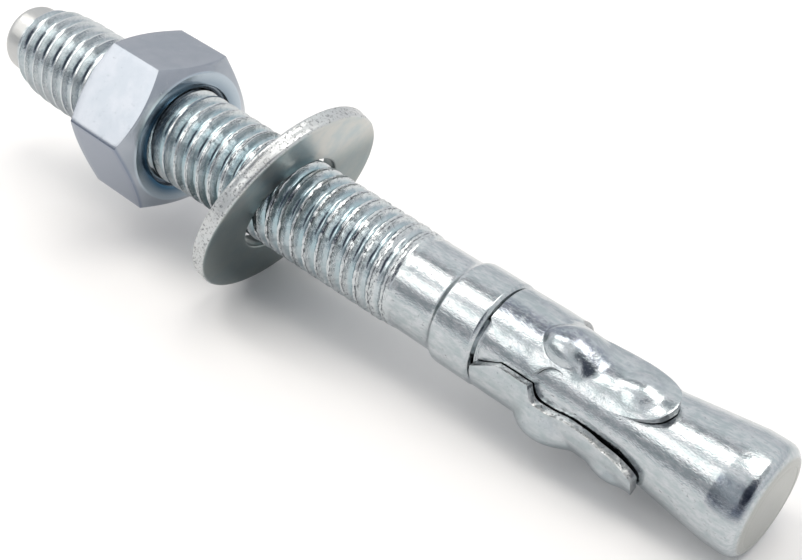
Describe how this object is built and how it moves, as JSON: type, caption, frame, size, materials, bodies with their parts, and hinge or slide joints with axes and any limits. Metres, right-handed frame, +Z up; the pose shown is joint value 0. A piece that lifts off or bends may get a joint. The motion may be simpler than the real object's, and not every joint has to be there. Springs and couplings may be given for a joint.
{
  "type": "wedge anchor",
  "caption": "Zinc-plated steel wedge anchor: threaded stud with a tapered end, rolled expansion clip round its neck, flat washer and hex nut.",
  "frame": {"origin": "on the surface the anchor lies on, under the middle of its bounding box", "axes": "+X from the threaded end to the tapered end, seen from above, with the stud's axis dipping 5.6 degrees towards the tapered end; +Z up; the stud's axis lies in the XZ plane"},
  "size_m": [0.1146, 0.0268, 0.0253],
  "materials": {
    "stud": "bright zinc plate, drawn and rolled",
    "expansion_clip": "bright zinc plate, stamped",
    "hex_nut": "bright zinc plate with a faint blue tint",
    "washer": "dull zinc plate, punched"
  },
  "bodies": {
    "stud": {"stud": "stud"},
    "clip": {"expansion_clip": "expansion_clip"},
    "nut": {"hex_nut": "hex_nut"},
    "washer": {"washer": "washer"}
  },
  "joints": [
    {"name": "nut_turn", "type": "hinge", "parent": "stud", "child": "nut", "pos_m": [-0.03068, 0, 0.01471], "axis": [0.9953, 0, -0.0972], "continuous": true},
    {"name": "washer_slide", "type": "slide", "parent": "stud", "child": "washer", "axis": [0.9953, 0, -0.0972], "range_m": [-0.0095, 0.018]},
    {"name": "clip_turn", "type": "hinge", "parent": "stud", "child": "clip", "pos_m": [0.03461, 0, 0.00834], "axis": [0.9953, 0, -0.0972], "continuous": true}
  ]
}
